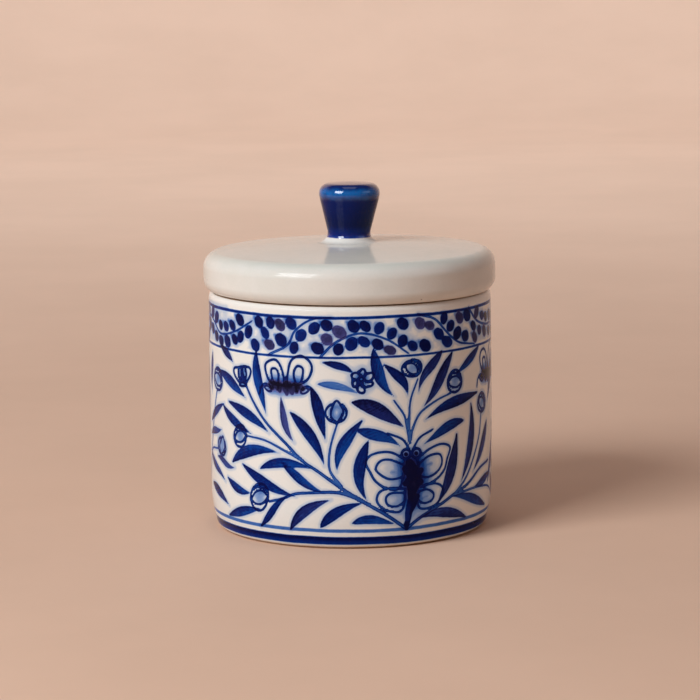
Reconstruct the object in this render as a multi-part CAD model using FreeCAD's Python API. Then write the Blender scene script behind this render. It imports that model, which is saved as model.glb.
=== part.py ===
"""Glazed ceramic storage jar with a lift-off lid, in millimetres.

The jar stands on the XY plane with its axis on Z and its origin at the middle of its foot.
It is six fired pieces of clay, every one turned about the same axis:

  jar_body       cup with a drawn-in foot, a rounded rim and a flat, wiped seat for the lid
  foot_ring      low bare ring let into the underside, which the jar stands on
  lid_cap        inverted dish with a rounded edge, which overhangs the body a little
  locating_ring  ring under the lid that drops into the mouth and keeps the lid central
  knob_collar    coved joint between the lid and its knob
  lid_knob       flared pinch knob with a rounded top
"""

import FreeCAD, Part
import math
import os

# ---- driving dimensions -------------------------------------------------------------------
BELLY_RADIUS = 44.9  # widest part of the body, at half height
BODY_HEIGHT = 75.0  # from the ground to the seat of the lid
WALL = 4.1
FLOOR = 4.0
FOOT_HEIGHT = 1.5  # how deep the underside is recessed
LID_RADIUS = 46.15
LID_HEIGHT = 12.9  # from the seat to the edge of the lid's top
LID_PLATE = 4.6
KNOB_RADIUS = 9.7
OVERALL_HEIGHT = 109.0

# ---- body ---------------------------------------------------------------------------------
RIM_RADIUS = BELLY_RADIUS - 0.25  # outside, just under the rim
HEEL_RADIUS = BELLY_RADIUS - 0.15  # outside, where the wall starts to draw in
BELLY_BULGE = 0.2
HEEL_Z = 13.0
HEEL_SWEEP = 38.0  # radius of the long curve that draws the wall in
TOE_Z = 2.6  # where that curve tightens towards the foot
TOE_BULGE = 0.3
LIP_RADIUS = 42.2  # outside of the glazed lip round the foot ring
LIP_Z = 0.5
RIM_ROUND = 1.65  # outer rounding of the rim
RIM_INNER_ROUND = 0.8
MOUTH_RADIUS = BELLY_RADIUS - WALL
INNER_FILLET = 4.0  # between the wall and the floor, inside

# ---- foot ring ----------------------------------------------------------------------------
FOOT_OUTER = 41.6
FOOT_INNER = 37.2
FOOT_BEVEL = 0.3

# ---- lid ----------------------------------------------------------------------------------
LID_TOP_ROUND = 5.0
LID_BOTTOM_ROUND = 4.3
LID_BOTTOM_Z = BODY_HEIGHT + 4.0  # where the rounding under the lid's edge begins
DOME_SLOPE = math.radians(6.1)  # slope of the domed top where it meets the rounding
SKIRT_INNER = 41.0
RING_INNER = 37.2
RING_CLEARANCE = 0.7  # between the locating ring and the mouth
RING_DEPTH = 6.0  # how far the ring reaches below the seat
RING_ROUND = 1.2
RING_COVE = 2.0  # smoothed joint between the ring and the lid's underside
RING_COVE_DEG = 72  # the cove stops short of its feather edge
CEILING_Z = BODY_HEIGHT + LID_HEIGHT - LID_PLATE  # underside of the lid's plate, at the ring
CEILING_RISE = 1.6  # how far the underside is domed inside the ring

# ---- knob ---------------------------------------------------------------------------------
COLLAR_RADIUS = 9.1
COLLAR_HEIGHT = 1.3
COVE_RADIUS = 3.0
KNOB_ROUND = 3.3
FLARE = math.radians(14.2)  # lean of the knob's side
KNOB_DOME_SLOPE = math.radians(7.0)


class Profile:
    """Half outline of a turned piece, as (radius, height) points joined by lines and arcs."""

    def __init__(self, radius, z):
        self.here = FreeCAD.Vector(radius, 0, z)
        self.start = self.here
        self.edges = []

    def line(self, radius, z):
        """Straight run to (radius, z)."""
        there = FreeCAD.Vector(radius, 0, z)
        self.edges.append(Part.LineSegment(self.here, there).toShape())
        self.here = there
        return self

    def arc(self, centre_radius, centre_z, radius, from_deg, to_deg):
        """Arc of a circle. Angles run anticlockwise from outwards; a line leads in if need be."""

        def point(deg):
            a = math.radians(deg)
            return FreeCAD.Vector(
                centre_radius + radius * math.cos(a), 0, centre_z + radius * math.sin(a)
            )

        first = point(from_deg)
        if (first - self.here).Length > 1e-6:
            self.line(first.x, first.z)
        middle = point((from_deg + to_deg) / 2)
        last = point(to_deg)
        self.edges.append(Part.Arc(self.here, middle, last).toShape())
        self.here = last
        return self

    def bow(self, radius, z, bulge):
        """Shallow arc to (radius, z), standing out by bulge at its middle."""
        there = FreeCAD.Vector(radius, 0, z)
        along = there - self.here
        out = FreeCAD.Vector(along.z, 0, -along.x).normalize()
        middle = (self.here + there) * 0.5 + out * bulge
        self.edges.append(Part.Arc(self.here, middle, there).toShape())
        self.here = there
        return self

    def turn(self):
        """Closes the outline and turns it about Z into one solid."""
        if (self.start - self.here).Length > 1e-6:
            self.line(self.start.x, self.start.z)
        face = Part.Face(Part.Wire(self.edges))
        return face.revolve(FreeCAD.Vector(0, 0, 0), FreeCAD.Vector(0, 0, 1), 360)


def dome(radius, z, slope):
    """(height of its centre, radius) of the ball whose cap has this slope at (radius, z)."""
    ball = radius / math.sin(slope)
    return z - ball * math.cos(slope), ball


def foot_ring():
    outline = Profile(FOOT_INNER, FOOT_HEIGHT)
    outline.line(FOOT_INNER, FOOT_BEVEL)
    outline.arc(FOOT_INNER + FOOT_BEVEL, FOOT_BEVEL, FOOT_BEVEL, 180, 270)
    outline.line(FOOT_OUTER - FOOT_BEVEL, 0)
    outline.arc(FOOT_OUTER - FOOT_BEVEL, FOOT_BEVEL, FOOT_BEVEL, -90, 0)
    outline.line(FOOT_OUTER, FOOT_HEIGHT)
    return outline.turn()


def jar_body():
    outline = Profile(0, FOOT_HEIGHT)
    outline.line(FOOT_OUTER, FOOT_HEIGHT)
    outline.line(FOOT_OUTER, LIP_Z)
    outline.line(LIP_RADIUS, LIP_Z)
    # the toe, then the long curve that leads into the wall
    toe_angle = math.asin((HEEL_Z - TOE_Z) / HEEL_SWEEP)
    heel_centre = HEEL_RADIUS - HEEL_SWEEP
    toe = FreeCAD.Vector(
        heel_centre + HEEL_SWEEP * math.cos(toe_angle), 0, HEEL_Z - HEEL_SWEEP * math.sin(toe_angle)
    )
    outline.bow(toe.x, toe.z, TOE_BULGE)
    outline.arc(heel_centre, HEEL_Z, HEEL_SWEEP, -math.degrees(toe_angle), 0)
    # the wall, bellied by a fraction of a millimetre
    rim_round_z = BODY_HEIGHT - RIM_ROUND
    outline.bow(RIM_RADIUS, rim_round_z, BELLY_BULGE)
    outline.arc(RIM_RADIUS - RIM_ROUND, rim_round_z, RIM_ROUND, 0, 90)
    # the seat, and down the inside
    inner_round_z = BODY_HEIGHT - RIM_INNER_ROUND
    outline.arc(MOUTH_RADIUS + RIM_INNER_ROUND, inner_round_z, RIM_INNER_ROUND, 90, 180)
    floor_z = FOOT_HEIGHT + FLOOR
    outline.arc(MOUTH_RADIUS - INNER_FILLET, floor_z + INNER_FILLET, INNER_FILLET, 0, -90)
    outline.line(0, floor_z)
    return outline.turn()


def lid_dome():
    """The ball of the lid's domed top, which starts where the rounding of its edge ends."""
    radius = LID_RADIUS - LID_TOP_ROUND * (1 - math.sin(DOME_SLOPE))
    z = BODY_HEIGHT + LID_HEIGHT - LID_TOP_ROUND * (1 - math.cos(DOME_SLOPE))
    return dome(radius, z, DOME_SLOPE)


def land_z():
    """Height of the flat land in the middle of the lid, where the collar sits."""
    centre_z, ball = lid_dome()
    return centre_z + math.sqrt(ball * ball - COLLAR_RADIUS * COLLAR_RADIUS)


def lid_cap():
    outline = Profile(0, CEILING_Z + CEILING_RISE)
    outline.bow(RING_INNER - RING_COVE, CEILING_Z, -CEILING_RISE / 4)
    outline.line(SKIRT_INNER, CEILING_Z)
    outline.line(SKIRT_INNER, BODY_HEIGHT)
    seat_deg = -math.degrees(math.asin((LID_BOTTOM_Z - BODY_HEIGHT) / LID_BOTTOM_ROUND))
    outline.arc(LID_RADIUS - LID_BOTTOM_ROUND, LID_BOTTOM_Z, LID_BOTTOM_ROUND, seat_deg, 0)
    top_round_z = BODY_HEIGHT + LID_HEIGHT - LID_TOP_ROUND
    dome_deg = 90 - math.degrees(DOME_SLOPE)
    outline.arc(LID_RADIUS - LID_TOP_ROUND, top_round_z, LID_TOP_ROUND, 0, dome_deg)
    centre_z, ball = lid_dome()
    land_deg = 90 - math.degrees(math.asin(COLLAR_RADIUS / ball))
    outline.arc(0, centre_z, ball, dome_deg, land_deg)
    outline.line(0, land_z())
    return outline.turn()


def locating_ring():
    outer = MOUTH_RADIUS - RING_CLEARANCE
    bottom = BODY_HEIGHT - RING_DEPTH
    outline = Profile(SKIRT_INNER, CEILING_Z)
    outline.line(SKIRT_INNER, BODY_HEIGHT)
    outline.line(outer, BODY_HEIGHT)
    outline.arc(outer - RING_ROUND, bottom + RING_ROUND, RING_ROUND, 0, -90)
    outline.arc(RING_INNER + RING_ROUND, bottom + RING_ROUND, RING_ROUND, 270, 180)
    outline.arc(RING_INNER - RING_COVE, CEILING_Z - RING_COVE, RING_COVE, 0, RING_COVE_DEG)
    outline.line(outline.here.x, CEILING_Z)
    return outline.turn()


def knob_side():
    """Centres of the cove at the knob's foot and of its shoulder, as (r, z, r, z)."""
    shoulder_r = KNOB_RADIUS - KNOB_ROUND
    ball = shoulder_r / math.sin(KNOB_DOME_SLOPE) + KNOB_ROUND
    shoulder_z = OVERALL_HEIGHT - ball + (ball - KNOB_ROUND) * math.cos(KNOB_DOME_SLOPE)
    cove_z = land_z() + COVE_RADIUS
    # the cone is tangent to both circles, so the centres' distance across it is both radii
    drop = shoulder_z - cove_z
    cove_r = shoulder_r + (COVE_RADIUS + KNOB_ROUND) / math.cos(FLARE) - drop * math.tan(FLARE)
    return cove_r, cove_z, shoulder_r, shoulder_z


def cove_deg(z):
    """Angle on the cove's circle at height z, on the side that faces the axis."""
    _, cove_z, _, _ = knob_side()
    return 180 - math.degrees(math.asin((z - cove_z) / COVE_RADIUS))


def knob_collar():
    cove_r, cove_z, _, _ = knob_side()
    bottom = land_z()
    edge_deg = 180 + math.degrees(math.acos((cove_r - COLLAR_RADIUS) / COVE_RADIUS))
    outline = Profile(0, bottom)
    outline.line(COLLAR_RADIUS, bottom)
    outline.arc(cove_r, cove_z, COVE_RADIUS, edge_deg, cove_deg(bottom + COLLAR_HEIGHT))
    outline.line(0, bottom + COLLAR_HEIGHT)
    return outline.turn()


def lid_knob():
    cove_r, cove_z, shoulder_r, shoulder_z = knob_side()
    bottom = land_z() + COLLAR_HEIGHT
    lean = math.degrees(FLARE)
    dome_deg = 90 - math.degrees(KNOB_DOME_SLOPE)
    outline = Profile(0, bottom)
    outline.arc(cove_r, cove_z, COVE_RADIUS, cove_deg(bottom), 180 - lean)
    outline.arc(shoulder_r, shoulder_z, KNOB_ROUND, -lean, dome_deg)
    centre_z, ball = dome(outline.here.x, outline.here.z, KNOB_DOME_SLOPE)
    outline.arc(0, centre_z, ball, dome_deg, 90)
    return outline.turn()


PIECES = {
    "jar_body": jar_body,
    "foot_ring": foot_ring,
    "lid_cap": lid_cap,
    "locating_ring": locating_ring,
    "knob_collar": knob_collar,
    "lid_knob": lid_knob,
}

os.makedirs("parts", exist_ok=True)
for name, make in PIECES.items():
    solid = make()
    box = solid.optimalBoundingBox()
    print(f"{name}: valid {solid.isValid()}, {solid.Volume:.0f} mm3, z {box.ZMin:.2f} to {box.ZMax:.2f}")
    solid.exportStep(f"parts/{name}.step")
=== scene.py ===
"""Looks of the glazed ceramic jar: turned pieces, brushwork under a clear glaze, and a plain studio."""
import math

import bpy
import numpy as np
from mathutils import Euler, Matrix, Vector


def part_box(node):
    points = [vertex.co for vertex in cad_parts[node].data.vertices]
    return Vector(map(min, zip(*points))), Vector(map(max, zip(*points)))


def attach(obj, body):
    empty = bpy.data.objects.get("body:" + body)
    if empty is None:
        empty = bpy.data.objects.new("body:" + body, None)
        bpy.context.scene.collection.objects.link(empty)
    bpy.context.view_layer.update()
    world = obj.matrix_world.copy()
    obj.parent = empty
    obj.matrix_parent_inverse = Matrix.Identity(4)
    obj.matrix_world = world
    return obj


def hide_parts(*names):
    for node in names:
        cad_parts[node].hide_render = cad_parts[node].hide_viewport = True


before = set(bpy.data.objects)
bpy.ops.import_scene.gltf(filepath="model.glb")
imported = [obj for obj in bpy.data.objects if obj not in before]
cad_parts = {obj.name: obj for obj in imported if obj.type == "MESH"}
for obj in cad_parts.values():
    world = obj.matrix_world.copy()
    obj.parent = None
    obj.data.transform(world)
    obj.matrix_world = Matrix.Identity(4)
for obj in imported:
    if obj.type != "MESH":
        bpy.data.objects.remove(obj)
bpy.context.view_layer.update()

MM = 0.001
TAU = 2 * math.pi
DRAWN_RADIUS = 45.0  # the drawing's distances along the wall are measured at this radius
TURN = TAU * DRAWN_RADIUS
FAR = 3.0  # distances to the brushwork are kept up to this many millimetres


# ---- sizes, in millimetres, from the CAD nodes ----
def node_size(node):
    """(outer radius, lowest z, highest z) of a turned node, in millimetres."""
    low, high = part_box(node)
    return (high.x - low.x) / 2 / MM, low.z / MM, high.z / MM


BELLY, LIP_Z, SEAT_Z = node_size("jar_body")
FOOT_OUTER, GROUND_Z, UNDERSIDE_Z = node_size("foot_ring")
LID_OUTER, LID_SEAT_Z, LAND_Z = node_size("lid_cap")
RING_OUTER, RING_BOTTOM_Z, CEILING_Z = node_size("locating_ring")
COLLAR_OUTER, COLLAR_BOTTOM_Z, COLLAR_TOP_Z = node_size("knob_collar")
KNOB_OUTER, KNOB_BOTTOM_Z, KNOB_TOP_Z = node_size("lid_knob")
WALL = 4.1
MOUTH = BELLY - WALL
LIP_OUTER = 42.2
RIM_ROUND = 1.65
MOUTH_ROUND = 0.8
INNER_FILLET = 4.0
FLOOR_Z = 5.5
RING_INNER = 37.2
RING_CLEARANCE = 0.7
RING_ROUND = 1.2
FOOT_BEVEL = 0.35
SKIRT_INNER = 41.0  # hollow of the lid
SEAM_GAP = 0.46  # the lid bears on the inner part of the rim, so a dark line shows outside it
LID_TOP_Z = LID_SEAT_Z + 12.9  # height of its edge
LID_TOP_ROUND, LID_BOTTOM_ROUND, LID_BOTTOM_Z = 5.0, 4.3, LID_SEAT_Z + 4.0
LID_SLOPE = math.radians(6.1)  # of the dome, where it meets the rounded edge
COVE = 3.0
KNOB_ROUND = 3.3
KNOB_LEAN = 14.2  # degrees
KNOB_SLOPE = math.radians(7.0)  # of the dome, where it meets the rounded shoulder


# ---- outlines of turned pieces ----
def arc(centre_r, centre_z, radius, from_deg, to_deg, step=0.5):
    """Points on a circle, with angles that run anticlockwise from outwards."""
    length = math.radians(abs(to_deg - from_deg)) * radius
    count = max(3, math.ceil(length / step))
    angles = np.radians(np.linspace(from_deg, to_deg, count + 1))
    return [(centre_r + radius * math.cos(a), centre_z + radius * math.sin(a)) for a in angles]


def bow(start, end, bulge, step=0.5):
    """Shallow curve from start to end that stands out by bulge at its middle."""
    (r0, z0), (r1, z1) = start, end
    length = math.hypot(r1 - r0, z1 - z0)
    count = max(2, math.ceil(length / step))
    points = []
    for t in np.linspace(0, 1, count + 1):
        out = 4 * bulge * t * (1 - t)
        across_r, across_z = (z1 - z0) / length, -(r1 - r0) / length
        points.append((r0 + (r1 - r0) * t + across_r * out, z0 + (z1 - z0) * t + across_z * out))
    return points


def outline(*runs):
    """One list of points from several runs, without doubled points."""
    points = []
    for run in runs:
        for r, z in run:
            if not points or math.hypot(r - points[-1][0], z - points[-1][1]) > 1e-4:
                points.append((r, z))
    return points


def even(points, step):
    """The same outline with its points spaced evenly, about step apart."""
    p = np.array(points, float)
    run = np.concatenate([[0], np.cumsum(np.hypot(*np.diff(p, axis=0).T))])
    t = np.linspace(0, run[-1], max(2, round(run[-1] / step)) + 1)
    return list(zip(np.interp(t, run, p[:, 0]), np.interp(t, run, p[:, 1])))


# ---- turned meshes ----
class Lathe:
    """Turned mesh in metres, with its seam a quarter turn to the left of the front.

    rings is a list of (radius, z, columns); a radius of 0 is a single point on the axis. The
    outline runs up the outside and down the inside. Two rings whose columns differ are joined by
    flat many-sided faces, so that step needs a flat place.
    """

    def __init__(self, name, rings, closed=False, warp=None):
        self.rings = rings
        self.starts = []
        self.faces = []
        self.face_ring = []
        self.corners = []
        points = []
        for radius, z, columns in rings:
            self.starts.append(len(points))
            if radius == 0:
                points.append((0.0, 0.0, z))
                continue
            for i in range(columns):
                turn = self.azimuth(i / columns)
                r, height = warp(radius, z, turn) if warp else (radius, z)
                points.append((r * math.sin(turn), -r * math.cos(turn), height))
        pairs = [(i, i + 1) for i in range(len(rings) - 1)]
        if closed:
            pairs.append((len(rings) - 1, 0))
        for a, b in pairs:
            self.join(a, b)
        self.mesh = bpy.data.meshes.new(name)
        self.mesh.from_pydata([Vector(p) * MM for p in points], [], self.faces)
        self.mesh.polygons.foreach_set("use_smooth", [True] * len(self.faces))
        self.mesh.set_sharp_from_angle(angle=math.radians(35))
        self.object = bpy.data.objects.new(name, self.mesh)
        bpy.context.scene.collection.objects.link(self.object)

    @staticmethod
    def azimuth(fraction):
        """Angle from the front, towards the right, of this fraction of a turn."""
        return TAU * (fraction - 0.25)

    def join(self, a, b):
        """Faces between rings a and b."""
        count_a = self.rings[a][2] if self.rings[a][0] else 1
        count_b = self.rings[b][2] if self.rings[b][0] else 1
        small = max(1, min(count_a, count_b))
        if small == 1:
            small = max(count_a, count_b)
        for i in range(small):
            lower = self.side(a, count_a, small, i)
            upper = self.side(b, count_b, small, i)
            corners = lower + upper[::-1]
            self.faces.append([c[0] for c in corners])
            self.corners.append([(c[1], c[2]) for c in corners])
            self.face_ring.append(a)

    def side(self, ring, count, small, i):
        """(vertex, fraction of a turn, ring) of one ring's share of face i."""
        if count == 1:
            return [(self.starts[ring], (i + 0.5) / small, ring)]
        step = count // small
        steps = range(i * step, (i + 1) * step + 1)
        return [(self.starts[ring] + k % count, k / count, ring) for k in steps]

    def field(self, name, values, first_ring):
        """Stores a grid of numbers, one row a ring from first_ring on, on the mesh's points."""
        data = np.full(len(self.mesh.vertices), FAR if "edge" in name else 0.0, np.float32)
        start = self.starts[first_ring]
        data[start : start + values.size] = values.ravel()
        self.mesh.attributes.new(name, "FLOAT", "POINT").data.foreach_set("value", data)


def turned(name, points, columns, **more):
    """Piece turned from an outline, with the same number of columns at every point."""
    return Lathe(name, [(r if r > 1e-6 else 0, z, columns) for r, z in points], **more).object


def ball_cap(radius, z, slope, inner, count):
    """Points of a dome from (radius, z), where it has this slope, in to the inner radius."""
    ball = radius / math.sin(slope)
    centre_z = z - ball * math.cos(slope)
    return [(r, centre_z + math.sqrt(ball**2 - r**2)) for r in np.linspace(radius, inner, count)]


# ---- brushwork ----
def smooth_line(points, spacing=0.7):
    """A smooth curve through the points, as closely spaced points."""
    p = np.array(points, float)
    if len(p) < 3:
        count = max(2, math.ceil(np.hypot(*(p[-1] - p[0])) / spacing))
        return p[0] + (p[-1] - p[0]) * np.linspace(0, 1, count + 1)[:, None]
    ends = np.vstack([2 * p[0] - p[1], p, 2 * p[-1] - p[-2]])
    pieces = []
    for a, b, c, d in zip(ends, ends[1:], ends[2:], ends[3:]):
        count = max(2, math.ceil(np.hypot(*(c - b)) / spacing))
        t = np.linspace(0, 1, count, endpoint=False)[:, None]
        pieces.append(
            0.5 * (2 * b + (c - a) * t + (2 * a - 5 * b + 4 * c - d) * t**2
                   + (3 * b - a - 3 * c + d) * t**3)
        )
    return np.vstack(pieces + [p[-1:]])


def oval(centre, across, along, tilt=0.0, start=0.0, turn=TAU, wobble=0.0):
    """Points round an oval, or round part of one. Angles are in radians."""
    a = np.linspace(start, start + turn, max(10, int(abs(turn) / TAU * 26)))
    r = 1 + wobble * np.sin(2 * a + 3 * centre[0]) + 0.6 * wobble * np.sin(3 * a + centre[1])
    x, y = across * r * np.cos(a), along * r * np.sin(a)
    c, s = math.cos(tilt), math.sin(tilt)
    return np.column_stack([centre[0] + x * c - y * s, centre[1] + x * s + y * c])


class Wall:
    """Brushwork on the wall, as fields over a grid of (distance along the wall, height)."""

    def __init__(self, along, height):
        shape = (len(height), len(along))
        self.along, self.height = along, height
        self.pitch = along[1] - along[0]
        self.line_edge = np.full(shape, FAR)
        self.line_side = np.full(shape, FAR)
        self.line_half = np.zeros(shape)
        self.line_load = np.zeros(shape)
        self.leaf_edge = np.full(shape, FAR)
        self.leaf_load = np.zeros(shape)
        self.tint = np.zeros(shape)
        self.wash = np.zeros(shape)
        self.mark = np.zeros(shape, int)
        self.marks = 0
        self.random = np.random.default_rng(8)

    def near(self, points, halves, margin=FAR):
        """Grid window round a stroke, and there its edge's distance, side, half width and way."""
        points = np.asarray(points, float)
        halves = np.broadcast_to(np.asarray(halves, float), len(points))
        reach = margin + halves.max()
        low, high = points.min(0) - reach, points.max(0) + reach
        columns = np.arange(
            math.ceil((low[0] - self.along[0]) / self.pitch),
            math.floor((high[0] - self.along[0]) / self.pitch) + 1,
        )
        rows = np.nonzero((self.height >= low[1]) & (self.height <= high[1]))[0]
        s, z = np.meshgrid(self.along[0] + columns * self.pitch, self.height[rows])
        edge = np.full(s.shape, 1e3)
        side, half, way = np.zeros(s.shape), np.zeros(s.shape), np.zeros(s.shape)
        ways = np.linspace(0, 1, len(points))
        for i, (a, b) in enumerate(zip(points, points[1:])):
            d = b - a
            t = ((s - a[0]) * d[0] + (z - a[1]) * d[1]) / max(1e-9, d @ d)
            t = np.clip(t, 0, 1)
            ds, dz = s - a[0] - t * d[0], z - a[1] - t * d[1]
            distance = np.hypot(ds, dz)
            width = halves[i] + t * (halves[i + 1] - halves[i])
            closer = distance - width < edge
            edge = np.where(closer, distance - width, edge)
            sign = np.where(d[0] * dz - d[1] * ds < 0, -1, 1)
            side = np.where(closer, sign * distance, side)
            half = np.where(closer, width, half)
            way = np.where(closer, ways[i] + t * (ways[i + 1] - ways[i]), way)
        return np.ix_(rows, columns % len(self.along)), edge, side, half, way

    def line(self, points, half=0.3, load=0.8, tint=0.0):
        """A thin brush line. load is how much colour it carries, at its start and its end."""
        where, edge, side, width, way = self.near(points, half)
        loads = np.interp(way, [0, 1], np.broadcast_to(load, 2))
        closer = edge < self.line_edge[where]
        self.marks += 1
        for field, value in (
            (self.mark, self.marks),
            (self.line_edge, edge),
            (self.line_side, np.clip(side, -FAR, FAR)),
            (self.line_half, width),
            (self.line_load, loads),
        ):
            field[where] = np.where(closer, value, field[where])
        self.tint[where] = np.where(closer & (edge < 0.3), tint, self.tint[where])

    def blot(self, points, halves, load=0.85, tint=0.0, slant=0.0):
        """A broad brush mark. Where it crosses another one it comes out darker.

        slant is how much more colour the brush left on one side of the mark than on the other.
        """
        where, edge, side, half, way = self.near(points, halves)
        loads = np.interp(way, [0, 1], np.broadcast_to(load, 2))
        across = np.clip(side / np.maximum(half, 0.3), -1, 1)
        hairs = np.sin(side * 6.5 + way * 3 + points[0][0]) * np.sin(way * 7 + points[0][1])
        loads = loads + slant * across + 0.08 * hairs * bool(slant)
        before = self.leaf_edge[where]
        both = np.clip(-np.maximum(edge, before) / 0.25, 0, 1)
        closer = edge < before
        crossed = np.where(closer, loads, self.leaf_load[where]) + 0.2 * both
        self.leaf_load[where] = crossed
        self.leaf_edge[where] = np.minimum(edge, before)
        self.tint[where] = np.where(closer & (edge < 0.3), tint, self.tint[where])

    def haze(self, points, halves, amount, soft=1.0):
        """A soft, watery patch of colour."""
        where, edge, _, _, _ = self.near(points, halves, margin=2 * soft)
        t = np.clip(0.5 - edge / (2 * soft), 0, 1)
        patch = amount * t * t * (3 - 2 * t)
        self.wash[where] = np.maximum(self.wash[where], patch)

    def settle(self):
        """Clears the gap between two lines side by side, where a blend means nothing.

        Where the gap is next to nothing, the paint of the two lines runs together instead.
        """
        left = self.line_side < 0
        clash = np.zeros(left.shape, bool)
        for step in ((0, 1), (0, -1), (1, 0), (-1, 0), (1, 1), (-1, -1), (1, -1), (-1, 1)):
            other = np.roll(self.mark, step, (0, 1)) != self.mark
            clash |= other & (np.roll(left, step, (0, 1)) != left)
        wide = np.clip((self.line_edge - 0.02) / 0.16, 0, 1)
        self.line_side[clash] *= (0.35 + 0.65 * wide)[clash]
        self.line_edge[clash] += (0.35 * wide)[clash]

    def clearance(self, s, z):
        """(distance to the nearest line, distance to the nearest broad mark) at one point."""
        column = round((s - self.along[0]) / self.pitch) % len(self.along)
        row = int(np.abs(self.height - z).argmin())
        return self.line_edge[row, column], self.leaf_edge[row, column]


class Brush:
    """Draws the motifs on a wall, at a place of its own: shifted along it, and maybe mirrored."""

    def __init__(self, wall, shift=0.0, mirror=False, jitter=0.25):
        self.wall, self.shift, self.jitter = wall, shift, jitter
        self.hand = -1 if mirror else 1
        self.random = wall.random

    def place(self, points):
        p = np.array(points, float)
        return np.column_stack([self.shift + self.hand * p[:, 0], p[:, 1]])

    def loose(self, point):
        """The point, moved a little, because nothing here is drawn with a ruler."""
        return np.array(point, float) + self.random.uniform(-self.jitter, self.jitter, 2)

    def line(self, points, *how):
        self.wall.line(self.place(points), *how)

    def blot(self, points, *how):
        self.wall.blot(self.place(points), *how)

    def haze(self, points, *how):
        self.wall.haze(self.place(points), *how)

    def stem(self, points, half=0.42, load=0.62):
        p = smooth_line([self.loose(q) for q in points])
        taper = half * (1 - 0.35 * np.linspace(0, 1, len(p)))
        self.line(p, taper, load)

    def leaf(self, start, tip, half, bend, load=0.86, tint=0.0):
        """Lance-shaped leaf, laid down from its blunt start to its fine tip."""
        a, c = self.loose(start), self.loose(tip)
        across = np.array([a[1] - c[1], c[0] - a[0]]) / np.hypot(*(c - a))
        b = (a + c) / 2 + across * 2 * bend
        t = np.linspace(0, 1, 19)[:, None]
        spine = (1 - t) ** 2 * a + 2 * t * (1 - t) * b + t**2 * c
        t = t[:, 0]
        spine = spine + np.outer(np.sin(TAU * t), across) * self.random.uniform(-0.4, 0.4)
        lean = self.random.uniform(0.7, 1.0)
        shape = np.sin(math.pi * t**lean) ** 1.15 + 0.16 * (1 - t) ** 3
        load = load + self.random.uniform(-0.16, 0.05)
        if self.random.random() < 0.2:
            tint = 0.3
        slant = self.random.choice((-1, 1)) * self.random.uniform(0.03, 0.12)
        self.blot(spine, 1.13 * half * shape, (load + 0.11, load - 0.07), tint, slant)

    def dab(self, s, z, half, length, lean, load=0.88, tint=0.0, tail=0.0):
        """Egg-shaped touch of the brush, with a watery tail where the brush came from."""
        way = np.array([math.sin(lean), math.cos(lean)])
        p = np.array([s, z])
        along = np.array([0.62, 0.3, -0.1, -0.42])[:, None]
        spots = p + way * length * along
        self.blot(spots, half * np.array([0.45, 0.86, 1.0, 0.82]), load, tint, 0.04)
        if tail:
            back = p + way * length * 0.5 + np.array([-1.6, 0.7])
            self.haze([p, back], (half * 0.9, 0.2), tail, 0.8)

    def petals(self, c, curves, size, tilt, half=0.28, load=0.88):
        """Curves of a motif drawn round (0, 0), scaled, turned by tilt and set down at c."""
        turn_c, turn_s = math.cos(tilt), math.sin(tilt)
        for points in curves:
            p = np.array(points, float) * size
            x = c[0] + p[:, 0] * turn_c - p[:, 1] * turn_s
            z = c[1] + p[:, 0] * turn_s + p[:, 1] * turn_c
            self.line(smooth_line(np.column_stack([x, z])), half, load)

    def bud(self, centre, across, along, tilt=0.0, halo=0.0):
        """Closed round or egg-shaped bud: an outline, petals inside it and a pale wash."""
        c = self.loose(centre)
        side = (0.35 * across * math.cos(tilt), 0.35 * across * math.sin(tilt))
        self.haze([c, c + side], 0.45 * along, 0.42, 1.6)
        if halo:
            self.haze(oval(c, across * 0.8, along * 0.8, tilt), 0.8, halo, 2.2)
        self.line(oval(c, across, along, tilt, wobble=0.05), 0.3, 0.92)
        self.petals(c, BUD, (across, along), tilt)

    def tulip(self, base, size, tilt=0.0):
        """Cup of striped petals that opens away from its dark base."""
        c = self.loose(base)
        self.haze([c + (0, 0.5 * size), c + (0, size)], 0.55 * size, 0.4, 0.9)
        self.petals(c, TULIP, size, tilt, 0.33, 0.95)
        self.line(oval(c - (0, 0.08 * size), 0.46 * size, 0.17 * size, tilt), 0.3, 1.0)
        self.haze(oval(c - (0, 0.08 * size), 0.4 * size, 0.12 * size, tilt), 0.4, 0.7, 0.5)

    def drop_bud(self, base, size, tilt=0.0, halo=0.0):
        """Closed bud with overlapping petals and a point at its top."""
        c = self.loose(base)
        self.haze(oval(c + (0, size), size * 0.4, size * 0.5), size * 0.35, 0.42, 1.2)
        if halo:
            self.haze(oval(c + (0.8, size), size * 0.8, size * 0.8), 0.8, halo, 2.4)
        self.petals(c, DROP_BUD, size, tilt)

    def cluster(self, centre, radius, halo=0.2):
        """Knot of loops, like a clover head."""
        c = self.loose(centre)
        self.haze([c, c + (0.0, 0.5)], radius * 0.6, 0.55, 1.4)
        self.haze(oval(c, radius, radius), 0.7, halo, 2.2)
        for k in range(6):
            a = k * TAU / 6 + 0.4
            spread = radius * self.random.uniform(0.48, 0.66)
            middle = c + spread * np.array([math.cos(a), math.sin(a)])
            size = radius * self.random.uniform(0.36, 0.5)
            self.line(oval(middle, size, size * 0.66, a + 0.7, wobble=0.15), 0.31, 0.98)

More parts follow.
